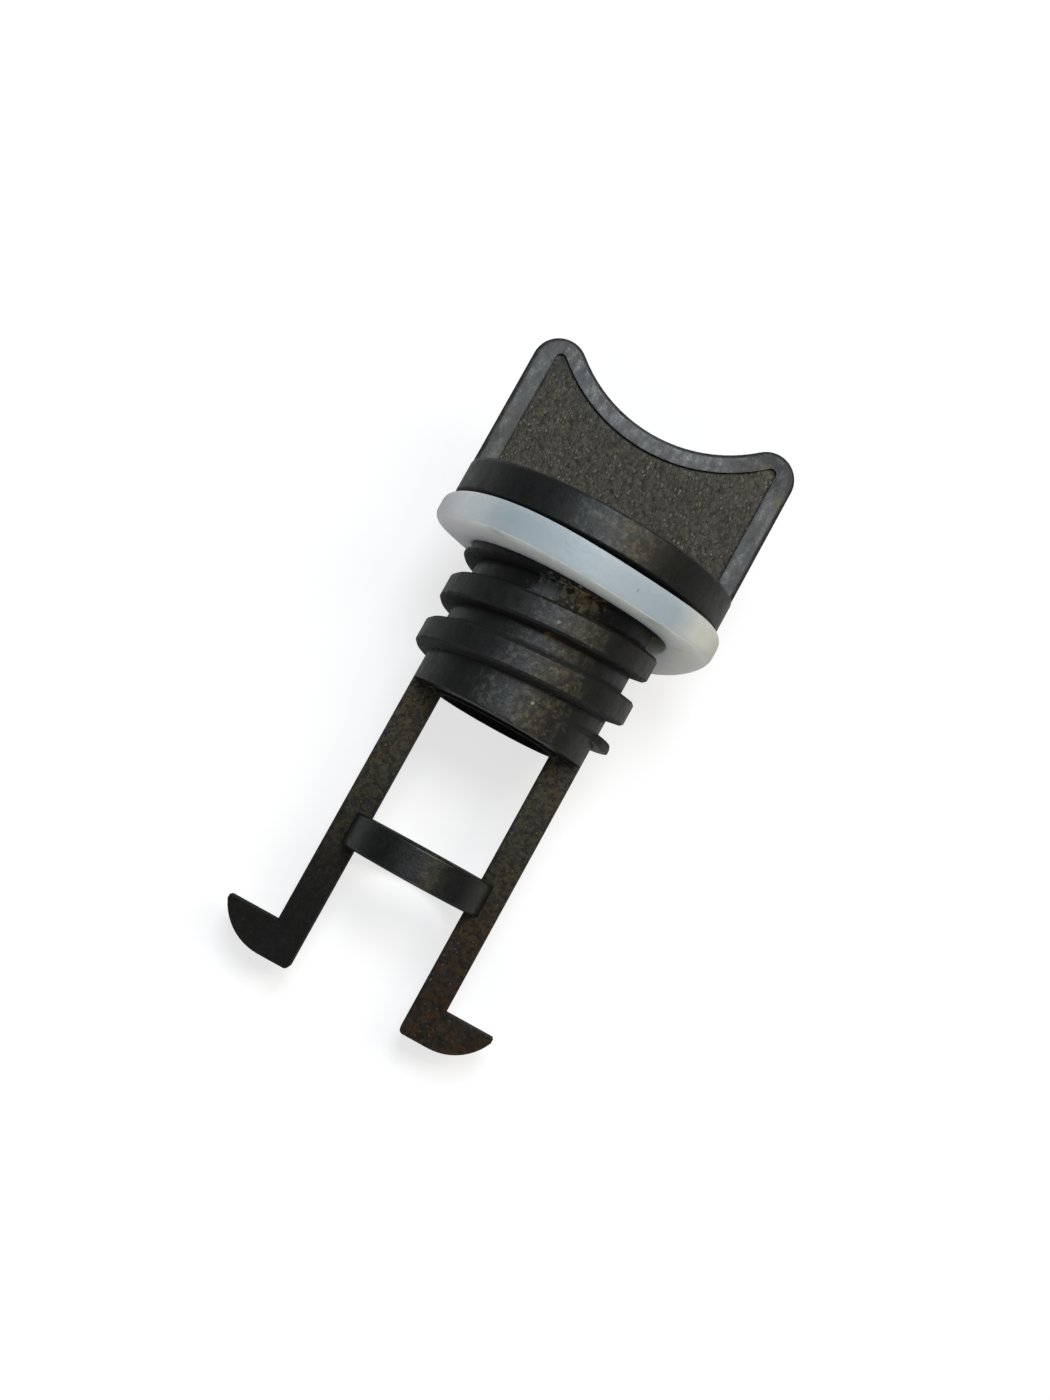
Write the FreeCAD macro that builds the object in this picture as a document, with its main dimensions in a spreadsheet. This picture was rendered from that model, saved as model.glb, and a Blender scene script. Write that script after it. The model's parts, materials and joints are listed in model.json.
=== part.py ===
import FreeCAD, Part
import math
import os
import Sketcher
from FreeCAD import Placement, Rotation, Vector

# Boat drain plug: one black moulding and a loose sealing washer, lying on its side.
# Each piece is drawn upright: Z runs along the plug towards the grip, z = 0 is the
# underside of the flange, and the face shown in the photograph looks along -Y.
doc = FreeCAD.newDocument("DrainPlug")

sizes = {
    "bore_radius": 6.1,
    "barrel_wall": 3.45,
    "barrel_length": 18.5,
    "barrel_round": 0.25,
    "lip_wall": 0.8,
    "lip_height": 0.28,
    "crown_thick": 2.8,
    "flange_overhang": 5.45,
    "flange_thick": 3.55,
    "flange_round": 0.45,
    "flange_foot_round": 0.12,
    "grip_height": 19.1,
    "grip_thick": 4.0,
    "grip_round": 0.55,
    "grip_side_step": 0.16,
    "grip_sink": 1.2,
    "horn_radius": 2.85,
    "saddle_radius": 15.55,
    "panel_side_rim": 2.15,
    "panel_top_rim": 1.9,
    "panel_corner_radius": 0.6,
    "panel_depth": 0.35,
    "thread_pitch": 5.0,
    "thread_rise": 1.7,
    "thread_root_width": 3.2,
    "thread_crest_width": 2.1,
    "thread_edge": 0.28,
    "thread_sink": 0.4,
    "thread_run_in": 1.45,
    "plain_end": 2.55,
    "thread_cut_depth": 0.5,
    "neck_rise": 1.35,
    "neck_margin": 0.75,
    "leg_thick": 3.5,
    "leg_step": 0.15,
    "leg_sink": 1.0,
    "leg_round": 0.3,
    "leg_length": 27.6,
    "hook_height": 3.85,
    "hook_length": 5.28,
    "hook_tip_height": 0.45,
    "hook_corner_radius": 0.5,
    "hoop_wall": 1.8,
    "hoop_height": 3.55,
    "hoop_gap": 14.45,
    "hoop_round": 0.35,
    "washer_play": 0.25,
    "washer_seat_gap": 0.1,
    "washer_proud": 0.8,
    "washer_thick": 3.0,
    "washer_round": 0.55,
    "washer_flat": 0.1,
    "washer_drop": 0.85,
    "washer_lean": 60,
    "washer_side_tilt": 1.5,
    "washer_back_tilt": 2.0,
}

sheet = doc.addObject("Spreadsheet::Sheet", "Sizes")
for row, (alias, size) in enumerate(sizes.items(), start=1):
    sheet.set(f"A{row}", alias)
    sheet.set(f"B{row}", str(size))
    sheet.setAlias(f"B{row}", alias)
doc.recompute()

# Radii and levels that several pieces share, as formulas of the sheet's cells.
# Levels count down from the underside of the flange.
barrel_radius = "(Sizes.bore_radius + Sizes.barrel_wall)"
lip_radius = "(Sizes.bore_radius + Sizes.lip_wall)"
lip_level = "(Sizes.barrel_length + Sizes.lip_height)"
flange_radius = f"({barrel_radius} + Sizes.flange_overhang)"
crest_radius = f"({barrel_radius} + Sizes.thread_rise)"
neck_radius = f"({barrel_radius} + Sizes.neck_rise)"
neck_level = "(Sizes.washer_drop + Sizes.washer_thick + Sizes.neck_margin)"
thread_cut_level = "(Sizes.barrel_length - Sizes.plain_end)"
thread_start_level = f"({thread_cut_level} + Sizes.thread_cut_depth)"
leg_inside = "(Sizes.bore_radius + Sizes.leg_step)"
leg_top_level = "(Sizes.barrel_length - Sizes.leg_sink)"
ledge_level = "(Sizes.barrel_length + Sizes.leg_length)"
hook_bottom_level = f"({ledge_level} + Sizes.hook_height)"
hook_tip_reach = f"({barrel_radius} + Sizes.hook_length)"
hoop_radius = "(Sizes.bore_radius + Sizes.hoop_wall)"
hoop_top_level = "(Sizes.barrel_length + Sizes.hoop_gap)"
hoop_bottom_level = f"({hoop_top_level} + Sizes.hoop_height)"
washer_hole_radius = f"({neck_radius} + Sizes.washer_play)"
washer_radius = f"({flange_radius} + Sizes.washer_proud)"


def evaluate(formula):
    """Value of a formula of the sheet's cells."""
    return float(sheet.evalExpression(formula))


def newBody(label):
    body = doc.addObject("PartDesign::Body", label)
    body.Label = label
    return body


def newSketch(body, name):
    """Empty sketch on the body's own XZ plane."""
    sketch = body.newObject("Sketcher::SketchObject", name)
    plane = next(f for f in body.Origin.OriginFeatures if f.Role == "XZ_Plane")
    sketch.AttachmentSupport = [(plane, "")]
    sketch.MapMode = "FlatFace"
    return sketch


def dimension(sketch, kind, geometry, formula):
    """Constraint whose size follows a formula."""
    index = sketch.addConstraint(Sketcher.Constraint(kind, *geometry, evaluate(formula)))
    sketch.setExpression(f"Constraints[{index}]", formula)


def pin(sketch, geometry, point, across, along):
    """Ties a point to the sketch's origin. A leading minus sign measures it the other way."""
    for kind, axis, formula in (("DistanceX", -2, across), ("DistanceY", -1, along)):
        if formula == "0":
            sketch.addConstraint(Sketcher.Constraint("PointOnObject", geometry, point, axis))
        elif formula.startswith("-"):
            dimension(sketch, kind, (geometry, point, -1, 1), formula[1:])
        else:
            dimension(sketch, kind, (-1, 1, geometry, point), formula)


def join(sketch, first, first_point, second, second_point, kind="Coincident"):
    sketch.addConstraint(Sketcher.Constraint(kind, first, first_point, second, second_point))


def spot(across, along):
    return Vector(evaluate(across), evaluate(along), 0)


def drawPolygon(sketch, corners):
    """Closed outline of straight lines with every corner tied to the origin."""
    points = [spot(across, along) for across, along in corners]
    for start, end in zip(points, points[1:] + points[:1]):
        sketch.addGeometry(Part.LineSegment(start, end), False)
    for i, (across, along) in enumerate(corners):
        join(sketch, i, 2, (i + 1) % len(corners), 1)
        pin(sketch, i, 1, across, along)


def arc(centre, radius, start, end):
    """Arc that runs anticlockwise from the start angle to the end angle."""
    return Part.ArcOfCircle(Part.Circle(centre, Vector(0, 0, 1), radius), start, end)


def turn(body, sketch, name, kind="PartDesign::Revolution"):
    feature = body.newObject(kind, name)
    feature.Profile = sketch
    feature.ReferenceAxis = (sketch, ["V_Axis"])
    feature.Angle = 360
    return feature


def trimRing(body, name, inner, outer, low, high):
    """Cuts away the ring between two radii and two levels, and checks that it cut something."""
    doc.recompute()
    before = body.Shape.Volume
    sketch = newSketch(body, f"{name}_outline")
    drawPolygon(sketch, [(inner, low), (outer, low), (outer, high), (inner, high)])
    turn(body, sketch, name, "PartDesign::Groove")
    doc.recompute()
    if body.Shape.Volume >= before:
        raise RuntimeError(f"{name} cuts nothing")


def roundEdges(body, name, radius, chosen):
    """Fillet on those edges of the body's last feature that a test picks out."""
    doc.recompute()
    base = body.Tip
    edges = [f"Edge{i}" for i, edge in enumerate(base.Shape.Edges, start=1) if chosen(edge)]
    fillet = body.newObject("PartDesign::Fillet", name)
    fillet.Base = (base, edges)
    fillet.setExpression("Radius", radius)


def near(a, b):
    return abs(a - b) < 1e-4


def isRim(edge, radius, level):
    """True for a circle round the Z axis with this radius, at this level below the flange."""
    curve = edge.Curve
    if not isinstance(curve, Part.Circle):
        return False
    return near(curve.Radius, evaluate(radius)) and near(curve.Center.z, -evaluate(level))


def inBroadFace(edge, thickness):
    """True for an edge of the front or back face of a plate of this thickness."""
    box = edge.BoundBox
    return near(box.YLength, 0) and near(abs(box.YMin), evaluate(thickness) / 2)


# Flange, barrel and blind bore with its low lip, turned in one outline
barrel = newBody("barrel")
barrel_outline = newSketch(barrel, "barrel_outline")
drawPolygon(barrel_outline, [
    ("0", "Sizes.flange_thick"),
    (flange_radius, "Sizes.flange_thick"),
    (flange_radius, "0"),
    (barrel_radius, "0"),
    (barrel_radius, "-Sizes.barrel_length"),
    (lip_radius, "-Sizes.barrel_length"),
    (lip_radius, f"-{lip_level}"),
    ("Sizes.bore_radius", f"-{lip_level}"),
    ("Sizes.bore_radius", "Sizes.flange_thick - Sizes.crown_thick"),
    ("0", "Sizes.flange_thick - Sizes.crown_thick"),
])
turn(barrel, barrel_outline, "barrel_turned")
roundEdges(barrel, "flange_rim", "Sizes.flange_round",
           lambda edge: isRim(edge, flange_radius, "-Sizes.flange_thick"))
roundEdges(barrel, "flange_foot", "Sizes.flange_foot_round", lambda edge: isRim(edge, flange_radius, "0"))
roundEdges(barrel, "barrel_rim", "Sizes.barrel_round",
           lambda edge: isRim(edge, barrel_radius, "Sizes.barrel_length"))

# Grip: a plate with a horn at each top corner and a saddle between them
grip_half_width = f"({flange_radius} - Sizes.grip_side_step)"
grip_foot = "(Sizes.flange_thick - Sizes.grip_sink)"
saddle_centre_level = ("(Sizes.grip_height - Sizes.horn_radius"
                       " + sqrt((Sizes.saddle_radius + Sizes.horn_radius) ^ 2"
                       f" - ({grip_half_width} - Sizes.horn_radius) ^ 2))")


def drawSaddled(sketch, half_width, foot, corner_radius, saddle_radius):
    """Closed outline: foot, two upright sides, two corner arcs and the saddle arc between them."""
    side = evaluate(half_width)
    base = evaluate(foot)
    corner_r = evaluate(corner_radius)
    saddle_r = evaluate(saddle_radius)
    saddle = spot("0", saddle_centre_level)
    reach = side - corner_r
    corner_y = saddle.y - math.sqrt((saddle_r + corner_r) ** 2 - reach ** 2)
    lean = math.atan2(saddle.y - corner_y, -reach)
    right, left = Vector(reach, corner_y, 0), Vector(-reach, corner_y, 0)
    sketch.addGeometry([
        Part.LineSegment(Vector(-side, base, 0), Vector(side, base, 0)),
        Part.LineSegment(Vector(side, base, 0), Vector(side, corner_y, 0)),
        arc(right, corner_r, 0, lean),
        arc(saddle, saddle_r, -lean, lean - math.pi),
        arc(left, corner_r, math.pi - lean, math.pi),
        Part.LineSegment(Vector(-side, corner_y, 0), Vector(-side, base, 0)),
    ], False)
    pin(sketch, 0, 1, f"-{half_width}", foot)
    pin(sketch, 0, 2, half_width, foot)
    join(sketch, 0, 2, 1, 1)
    join(sketch, 5, 2, 0, 1)
    sketch.addConstraint(Sketcher.Constraint("Vertical", 1))
    sketch.addConstraint(Sketcher.Constraint("Vertical", 5))
    join(sketch, 1, 2, 2, 1, "Tangent")
    join(sketch, 5, 1, 4, 2, "Tangent")
    join(sketch, 2, 2, 3, 2, "Tangent")
    join(sketch, 4, 1, 3, 1, "Tangent")
    pin(sketch, 3, 3, "0", saddle_centre_level)
    dimension(sketch, "Radius", (2,), corner_radius)
    dimension(sketch, "Radius", (4,), corner_radius)
    dimension(sketch, "Radius", (3,), saddle_radius)


grip = newBody("grip")
grip_outline = newSketch(grip, "grip_outline")
drawSaddled(grip_outline, grip_half_width, grip_foot, "Sizes.horn_radius", "Sizes.saddle_radius")
grip_pad = grip.newObject("PartDesign::Pad", "grip_pad")
grip_pad.Profile = grip_outline
grip_pad.SideType = "Symmetric"
grip_pad.setExpression("Length", "Sizes.grip_thick")
foot_z = evaluate(grip_foot)
roundEdges(grip, "grip_edges", "Sizes.grip_round",
           lambda edge: inBroadFace(edge, "Sizes.grip_thick") and edge.BoundBox.ZMax > foot_z + 0.01)

# Sunk panel on both faces of the grip, open towards the flange
doc.recompute()
plate_volume = grip.Shape.Volume
panel_outline = newSketch(grip, "panel_outline")
panel_outline.setExpression("AttachmentOffset.Base.z", "Sizes.grip_thick / 2")
drawSaddled(panel_outline, f"({grip_half_width} - Sizes.panel_side_rim)", "Sizes.flange_thick",
            "Sizes.panel_corner_radius", "Sizes.saddle_radius + Sizes.panel_top_rim")
front_panel = grip.newObject("PartDesign::Pocket", "front_panel")
front_panel.Profile = panel_outline
front_panel.setExpression("Length", "Sizes.panel_depth")
doc.recompute()
panel_volume = plate_volume - grip.Shape.Volume
back_panel = grip.newObject("PartDesign::Mirrored", "back_panel")
back_panel.Originals = [front_panel]
mirror_plane = next(f for f in grip.Origin.OriginFeatures if f.Role == "XZ_Plane")
back_panel.MirrorPlane = (mirror_plane, [""])
grip.Tip = back_panel
doc.recompute()
if panel_volume <= 0 or not near(plate_volume - grip.Shape.Volume, 2 * panel_volume):
    raise RuntimeError("the sunk panels were not cut on both faces")

# Thread: one ridge with broken edges that climbs to the right and dies into the flange. Its
# foot is cut off flat, and its crest is lower at the neck, where the washer sits.
thread = newBody("thread")
ridge_outline = newSketch(thread, "ridge_outline")
half_crest = "Sizes.thread_crest_width / 2"
half_shoulder = f"({half_crest} + Sizes.thread_edge)"
shoulder_radius = f"({crest_radius} - Sizes.thread_edge)"
half_root = ("(Sizes.thread_root_width / 2 + Sizes.thread_sink"
             f" * (Sizes.thread_root_width / 2 - {half_shoulder}) / (Sizes.thread_rise - Sizes.thread_edge))")
ridge_inside = f"{barrel_radius} - Sizes.thread_sink"
drawPolygon(ridge_outline, [
    (ridge_inside, f"-({thread_start_level} + {half_root})"),
    (shoulder_radius, f"-({thread_start_level} + {half_shoulder})"),
    (crest_radius, f"-({thread_start_level} + {half_crest})"),
    (crest_radius, f"-({thread_start_level} - {half_crest})"),
    (shoulder_radius, f"-({thread_start_level} - {half_shoulder})"),
    (ridge_inside, f"-({thread_start_level} - {half_root})"),
])
ridge = thread.newObject("PartDesign::AdditiveHelix", "ridge")
ridge.Profile = ridge_outline
ridge.ReferenceAxis = (ridge_outline, ["V_Axis"])
ridge.Mode = "pitch-height-angle"
ridge.setExpression("Pitch", "Sizes.thread_pitch")
ridge.setExpression("Height", f"{thread_start_level} + Sizes.thread_run_in")
beyond_crest = f"({crest_radius} + 1)"
trimRing(thread, "thread_foot", "Sizes.bore_radius", beyond_crest,
         f"-({thread_start_level} + Sizes.thread_root_width)", f"-{thread_cut_level}")
trimRing(thread, "thread_neck", neck_radius, beyond_crest, f"-{neck_level}",
         "Sizes.thread_run_in + Sizes.thread_root_width")

# Leg with its hook: flat inside, and flush with the barrel outside
leg = newBody("leg")
leg_outline = newSketch(leg, "leg_outline")
beyond_barrel = f"({barrel_radius} + 1)"
inside = evaluate(leg_inside)
bottom = -evaluate(hook_bottom_level)
tip = spot(hook_tip_reach, f"-({ledge_level} + Sizes.hook_tip_height)")
sweep_foot = spot(barrel_radius, f"-{hook_bottom_level}")
sweep_width = tip.x - sweep_foot.x
sweep_rise = tip.y - sweep_foot.y
sweep_radius = (sweep_width ** 2 + sweep_rise ** 2) / (2 * sweep_rise)
corner = evaluate("Sizes.hook_corner_radius")
corners = [spot(leg_inside, f"-{leg_top_level}"), spot(beyond_barrel, f"-{leg_top_level}"),
           spot(beyond_barrel, f"-{ledge_level}"), spot(hook_tip_reach, f"-{ledge_level}"), tip]
for start, end in zip(corners, corners[1:]):
    leg_outline.addGeometry(Part.LineSegment(start, end), False)
leg_outline.addGeometry([
    arc(sweep_foot + Vector(0, sweep_radius, 0), sweep_radius, -math.pi / 2,
        math.atan2(sweep_rise - sweep_radius, sweep_width)),
    Part.LineSegment(sweep_foot, Vector(inside + corner, bottom, 0)),
    arc(Vector(inside + corner, bottom + corner, 0), corner, math.pi, 1.5 * math.pi),
    Part.LineSegment(Vector(inside, bottom + corner, 0), corners[0]),
], False)
pin(leg_outline, 0, 1, leg_inside, f"-{leg_top_level}")
pin(leg_outline, 1, 1, beyond_barrel, f"-{leg_top_level}")
pin(leg_outline, 2, 1, beyond_barrel, f"-{ledge_level}")
pin(leg_outline, 3, 1, hook_tip_reach, f"-{ledge_level}")
pin(leg_outline, 3, 2, hook_tip_reach, f"-({ledge_level} + Sizes.hook_tip_height)")
pin(leg_outline, 5, 1, barrel_radius, f"-{hook_bottom_level}")
for line in range(3):
    join(leg_outline, line, 2, line + 1, 1)
join(leg_outline, 3, 2, 4, 2)
join(leg_outline, 4, 1, 5, 1, "Tangent")
join(leg_outline, 5, 2, 6, 2, "Tangent")
join(leg_outline, 6, 1, 7, 1, "Tangent")
join(leg_outline, 7, 2, 0, 1)
leg_outline.addConstraint(Sketcher.Constraint("Horizontal", 5))
leg_outline.addConstraint(Sketcher.Constraint("Vertical", 7))
dimension(leg_outline, "Radius", (6,), "Sizes.hook_corner_radius")
leg_pad = leg.newObject("PartDesign::Pad", "leg_pad")
leg_pad.Profile = leg_outline
leg_pad.SideType = "Symmetric"
leg_pad.setExpression("Length", "Sizes.leg_thick")
trimRing(leg, "leg_outside", barrel_radius, f"({barrel_radius} + 2)", f"-{ledge_level}",
         f"-({leg_top_level} - 1)")
leg_top = -evaluate(leg_top_level)
roundEdges(leg, "leg_edges", "Sizes.leg_round",
           lambda edge: inBroadFace(edge, "Sizes.leg_thick") and edge.BoundBox.ZMin < leg_top - 0.01)
other_leg = doc.addObject("Part::Mirroring", "other_leg")
other_leg.Source = leg
other_leg.Normal = Vector(1, 0, 0)

# Hoop that joins the two legs
hoop = newBody("hoop")
hoop_outline = newSketch(hoop, "hoop_outline")
drawPolygon(hoop_outline, [
    ("Sizes.bore_radius", f"-{hoop_bottom_level}"),
    (hoop_radius, f"-{hoop_bottom_level}"),
    (hoop_radius, f"-{hoop_top_level}"),
    ("Sizes.bore_radius", f"-{hoop_top_level}"),
])
turn(hoop, hoop_outline, "hoop_turned")
roundEdges(hoop, "hoop_rims", "Sizes.hoop_round", lambda edge: isinstance(edge.Curve, Part.Circle))

# The moulding in one piece
plug_body = doc.addObject("Part::MultiFuse", "plug_body")
plug_body.Label = "plug_body"
plug_body.Shapes = [barrel, grip, thread, leg, other_leg, hoop]
plug_body.Refine = True

# Washer ring, drawn with its upper face at z = 0
washer_ring = newBody("washer_ring")
washer_outline = newSketch(washer_ring, "washer_outline")
drawPolygon(washer_outline, [
    (washer_hole_radius, "-Sizes.washer_thick"),
    (washer_radius, "-Sizes.washer_thick"),
    (washer_radius, "0"),
    (washer_hole_radius, "0"),
])
turn(washer_ring, washer_outline, "washer_turned")
roundEdges(washer_ring, "washer_rims", "Sizes.washer_round",
           lambda edge: isinstance(edge.Curve, Part.Circle))
doc.recompute()

# The washer sits loose on the neck: tilted, and pushed aside until its hole nears the crest
washer_slide = evaluate("Sizes.washer_play - Sizes.washer_seat_gap")
washer_lean = math.radians(evaluate("Sizes.washer_lean"))
washer_on_plug = Placement(
    Vector(washer_slide * math.sin(washer_lean), -washer_slide * math.cos(washer_lean),
           -evaluate("Sizes.washer_drop")),
    Rotation(Vector(0, 1, 0), evaluate("Sizes.washer_side_tilt"))
    * Rotation(Vector(1, 0, 0), -evaluate("Sizes.washer_back_tilt")))

# The plug lies on its back: the floor touches the hoop's lower rim and the washer's, which the
# plug's weight presses flat
washer_round = evaluate("Sizes.washer_round")
hoop_round = evaluate("Sizes.hoop_round")
washer_rim = washer_on_plug.multVec(Vector(0, evaluate(washer_radius) - washer_round,
                                           washer_round - evaluate("Sizes.washer_thick")))
hoop_rim = Vector(0, evaluate(hoop_radius) - hoop_round, hoop_round - evaluate(hoop_bottom_level))
span = washer_rim - hoop_rim
run = math.hypot(span.y, span.z)
rise = hoop_round - washer_round + evaluate("Sizes.washer_flat")
lie_angle = math.degrees(math.atan2(span.y, span.z) - math.asin(rise / run))
laid = Placement(Vector(0, 0, 0), Rotation(Vector(1, 0, 0), lie_angle - 90))
plug_body.Placement = laid
washer_ring.Placement = laid * washer_on_plug
floor = doc.addObject("Part::Box", "floor")
floor.setExpression("Length", f"4 * {washer_radius}")
floor.setExpression("Width", f"4 * {washer_radius}")
floor.setExpression("Height", washer_radius)
doc.recompute()
floor_level = laid.multVec(hoop_rim).z - hoop_round
floor.Placement = Placement(Vector(-floor.Length.Value / 2, -floor.Width.Value / 2,
                                   floor_level - floor.Height.Value), Rotation())
sealing_washer = doc.addObject("Part::Cut", "sealing_washer")
sealing_washer.Label = "sealing_washer"
sealing_washer.Base = washer_ring
sealing_washer.Tool = floor
doc.recompute()
if sealing_washer.Shape.Volume >= washer_ring.Shape.Volume:
    raise RuntimeError("the washer isn't pressed flat")

# The origin lies on the floor, below the middle of the whole part
both = Part.makeCompound([plug_body.Shape, sealing_washer.Shape]).optimalBoundingBox(False, False)
to_floor = Placement(Vector(-both.Center.x, -both.Center.y, -both.ZMin), Rotation())
plug_body.Placement = to_floor * laid
sealing_washer.Placement = to_floor
doc.recompute()

for item in doc.Objects:
    if "Invalid" in item.State or "Error" in item.State:
        raise RuntimeError(f"{item.Label} failed: {item.State}")
pieces = [plug_body, sealing_washer]
for piece in pieces:
    shape = piece.Shape
    if shape.isNull() or not shape.isValid() or len(shape.Solids) != 1:
        raise RuntimeError(f"{piece.Label} is not one valid solid")

os.makedirs("parts", exist_ok=True)
for piece in pieces:
    piece.Shape.exportStep(f"parts/{piece.Label}.step")
    box = piece.Shape.optimalBoundingBox(False, False)
    print(f"{piece.Label}: {piece.Shape.Volume:.0f} mm3, "
          f"{box.XLength:.1f} x {box.YLength:.1f} x {box.ZLength:.1f} mm, lowest at {box.ZMin:.3f}")
print(f"lies at {lie_angle:.2f} degrees")
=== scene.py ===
import json
import math
import bmesh
import bpy
from mathutils import Matrix, Vector
from types import SimpleNamespace


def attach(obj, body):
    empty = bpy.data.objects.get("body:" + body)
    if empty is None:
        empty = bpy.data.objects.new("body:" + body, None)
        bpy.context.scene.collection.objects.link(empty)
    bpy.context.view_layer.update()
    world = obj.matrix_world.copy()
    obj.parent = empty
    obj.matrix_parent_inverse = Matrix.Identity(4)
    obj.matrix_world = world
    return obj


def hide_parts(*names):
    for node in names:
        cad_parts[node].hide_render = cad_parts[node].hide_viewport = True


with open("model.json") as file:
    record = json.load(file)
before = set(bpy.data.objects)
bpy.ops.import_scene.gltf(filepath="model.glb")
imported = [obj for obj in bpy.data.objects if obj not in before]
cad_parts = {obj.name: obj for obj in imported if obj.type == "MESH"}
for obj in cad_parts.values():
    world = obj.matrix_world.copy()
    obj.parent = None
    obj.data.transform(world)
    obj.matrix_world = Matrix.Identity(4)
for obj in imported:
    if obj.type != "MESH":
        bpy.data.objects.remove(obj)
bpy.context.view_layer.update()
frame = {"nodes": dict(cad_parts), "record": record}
print("frame loaded")

mm = 0.001
across = Vector((1, 0, 0))

# The plug's own axes, in mm: Z runs up to the grip from 0.4 above the flange's underside, and the
# photographed side looks along -Y
plug = {
    "ledgeLevel": -46.5,
    "flangeTop": 3.15,
    "barrelEnd": -18.9,
    "boreTop": 0.4,
    "lipEnd": -19.2,
    "lipRadius": 7.0,
    "gripHalf": 14.84,
    "gripThick": 4.0,
    "panelDepth": 0.35,
    "panelRim": 2.15,
    "panelTopRim": 1.9,
    "panelCorner": 2.1,                       # how far from its corner the panel's outline starts to bend
    "saddleRadius": 15.55,
    "hornRadius": 2.85,
    "gripTop": 18.7,
    "legInside": 6.25,
    "legThick": 3.5,
    "threadPitch": 5.0,
    "threadStart": -16.85,                    # level of the ridge's middle at the plug's right side
    "threadCut": -16.35,                      # level that the ridge is cut flat at
    "threadCrest": 1.05,                      # half the ridge's width at its crest
    "threadFoot": 1.6,                        # half its width at its foot
    "rootRadius": 9.55,
}
mounts = {mount["name"]: mount for mount in frame["record"]["mounts"]}
plugUp = Vector(mounts["hook_ledge_left"]["axis"]).normalized()
ledges = [Vector(mounts[name]["pos_m"]) for name in ("hook_ledge_left", "hook_ledge_right")]
plugOrigin = (ledges[0] + ledges[1]) / 2 - plugUp * plug["ledgeLevel"] * mm
plugBack = plugUp.cross(across)
plugAxes = Matrix((across, plugBack, plugUp)).transposed()


# Place in the row's frame, in metres, of a point given in the plug's own mm
def onPlug(x, y, z):
    return plugOrigin + plugAxes @ Vector((x, y, z)) * mm


# Camera where the photograph was taken from
photo = {
    "seat": (3.824, -186.404, -31.47),        # mm, in the plug's axes
    "yaw": 0.749,
    "pitch": 4.898,
    "roll": -28.948,
    "focalPixels": 1857.74,
    "heightPixels": 1400,
    "sensor": 36.0,
    "clip": (0.01, 50.0),                     # metres
}


def makeCamera():
    data = bpy.data.cameras.new("photoCamera")
    data.sensor_fit = "VERTICAL"
    data.sensor_height = photo["sensor"]
    data.lens = photo["sensor"] * photo["focalPixels"] / photo["heightPixels"]
    data.clip_start, data.clip_end = photo["clip"]
    camera = bpy.data.objects.new("photoCamera", data)
    bpy.context.scene.collection.objects.link(camera)
    turn = Matrix.Rotation(math.radians(photo["yaw"]), 3, "Z")
    turn = turn @ Matrix.Rotation(math.radians(photo["pitch"]), 3, "X")
    turn = turn @ Matrix.Rotation(math.radians(photo["roll"]), 3, "Y")
    turn = turn @ Matrix.Rotation(math.radians(90), 3, "X")       # Blender's camera looks down its own -Z
    camera.matrix_world = Matrix.Translation(onPlug(*photo["seat"])) @ (plugAxes @ turn).to_4x4()
    bpy.context.scene.camera = camera


makeCamera()
print("camera placed")


# Short forms for building node trees: a value is a constant or the socket that it comes from
def setInputs(tree, node, values):
    for name, value in values.items():
        if isinstance(value, bpy.types.NodeSocket):
            tree.links.new(value, node.inputs[name])
        else:
            node.inputs[name].default_value = value


def addNode(tree, kind, values=None, **settings):
    node = tree.nodes.new(kind)
    for name, setting in settings.items():
        setattr(node, name, setting)
    setInputs(tree, node, values or {})
    return node


def calc(tree, operation, *values):
    return addNode(tree, "ShaderNodeMath", dict(enumerate(values)), operation=operation).outputs[0]


def vectorCalc(tree, operation, *values):
    node = addNode(tree, "ShaderNodeVectorMath", dict(enumerate(values)), operation=operation)
    return node.outputs["Value"] if operation in ("LENGTH", "DOT_PRODUCT", "DISTANCE") else node.outputs[0]


# Smooth step of a value between two limits, the first of which may be the higher one
def soften(tree, value, low, high, toLow=0.0, toHigh=1.0):
    values = {"Value": value, "From Min": low, "From Max": high, "To Min": toLow, "To Max": toHigh}
    return addNode(tree, "ShaderNodeMapRange", values, interpolation_type="SMOOTHSTEP").outputs[0]


def greater(tree, value, limit):
    return calc(tree, "GREATER_THAN", value, limit)


def less(tree, value, limit):
    return calc(tree, "LESS_THAN", value, limit)


def allOf(tree, *masks):
    product = masks[0]
    for mask in masks[1:]:
        product = calc(tree, "MULTIPLY", product, mask)
    return product


def unless(tree, mask):
    return calc(tree, "SUBTRACT", 1.0, mask)


# First colour where the factor is 0, second where it is 1
def mixColor(tree, factor, first, second, blend="MIX"):
    values = {0: factor, 6: first, 7: second}
    return addNode(tree, "ShaderNodeMix", values, data_type="RGBA", blend_type=blend).outputs[2]


def tintColor(tree, color, factor):
    return mixColor(tree, 1.0, color, factor, "MULTIPLY")


def mixValue(tree, factor, first, second):
    return addNode(tree, "ShaderNodeMix", {0: factor, 2: first, 3: second}, data_type="FLOAT").outputs[0]


# Noise about its middle, so that it shifts a value both ways by up to half the reach
def wander(tree, value, reach):
    return calc(tree, "MULTIPLY", calc(tree, "SUBTRACT", value, 0.5), reach)


def noise(tree, vector, scale, detail, rough):
    values = {"Vector": vector, "Scale": scale, "Detail": detail, "Roughness": rough}
    return addNode(tree, "ShaderNodeTexNoise", values).outputs[0]


# Empty node group with named sockets: {name: (socket type, default)} in, {name: type} out
def startGroup(name, inputs, outputs):
    tree = bpy.data.node_groups.new(name, "ShaderNodeTree")
    for label, (kind, default) in inputs.items():
        socket = tree.interface.new_socket(label, in_out="INPUT", socket_type=kind)
        socket.default_value = default
    for label, kind in outputs.items():
        tree.interface.new_socket(label, in_out="OUTPUT", socket_type=kind)
    return tree, tree.nodes.new("NodeGroupInput").outputs, tree.nodes.new("NodeGroupOutput").inputs


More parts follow.
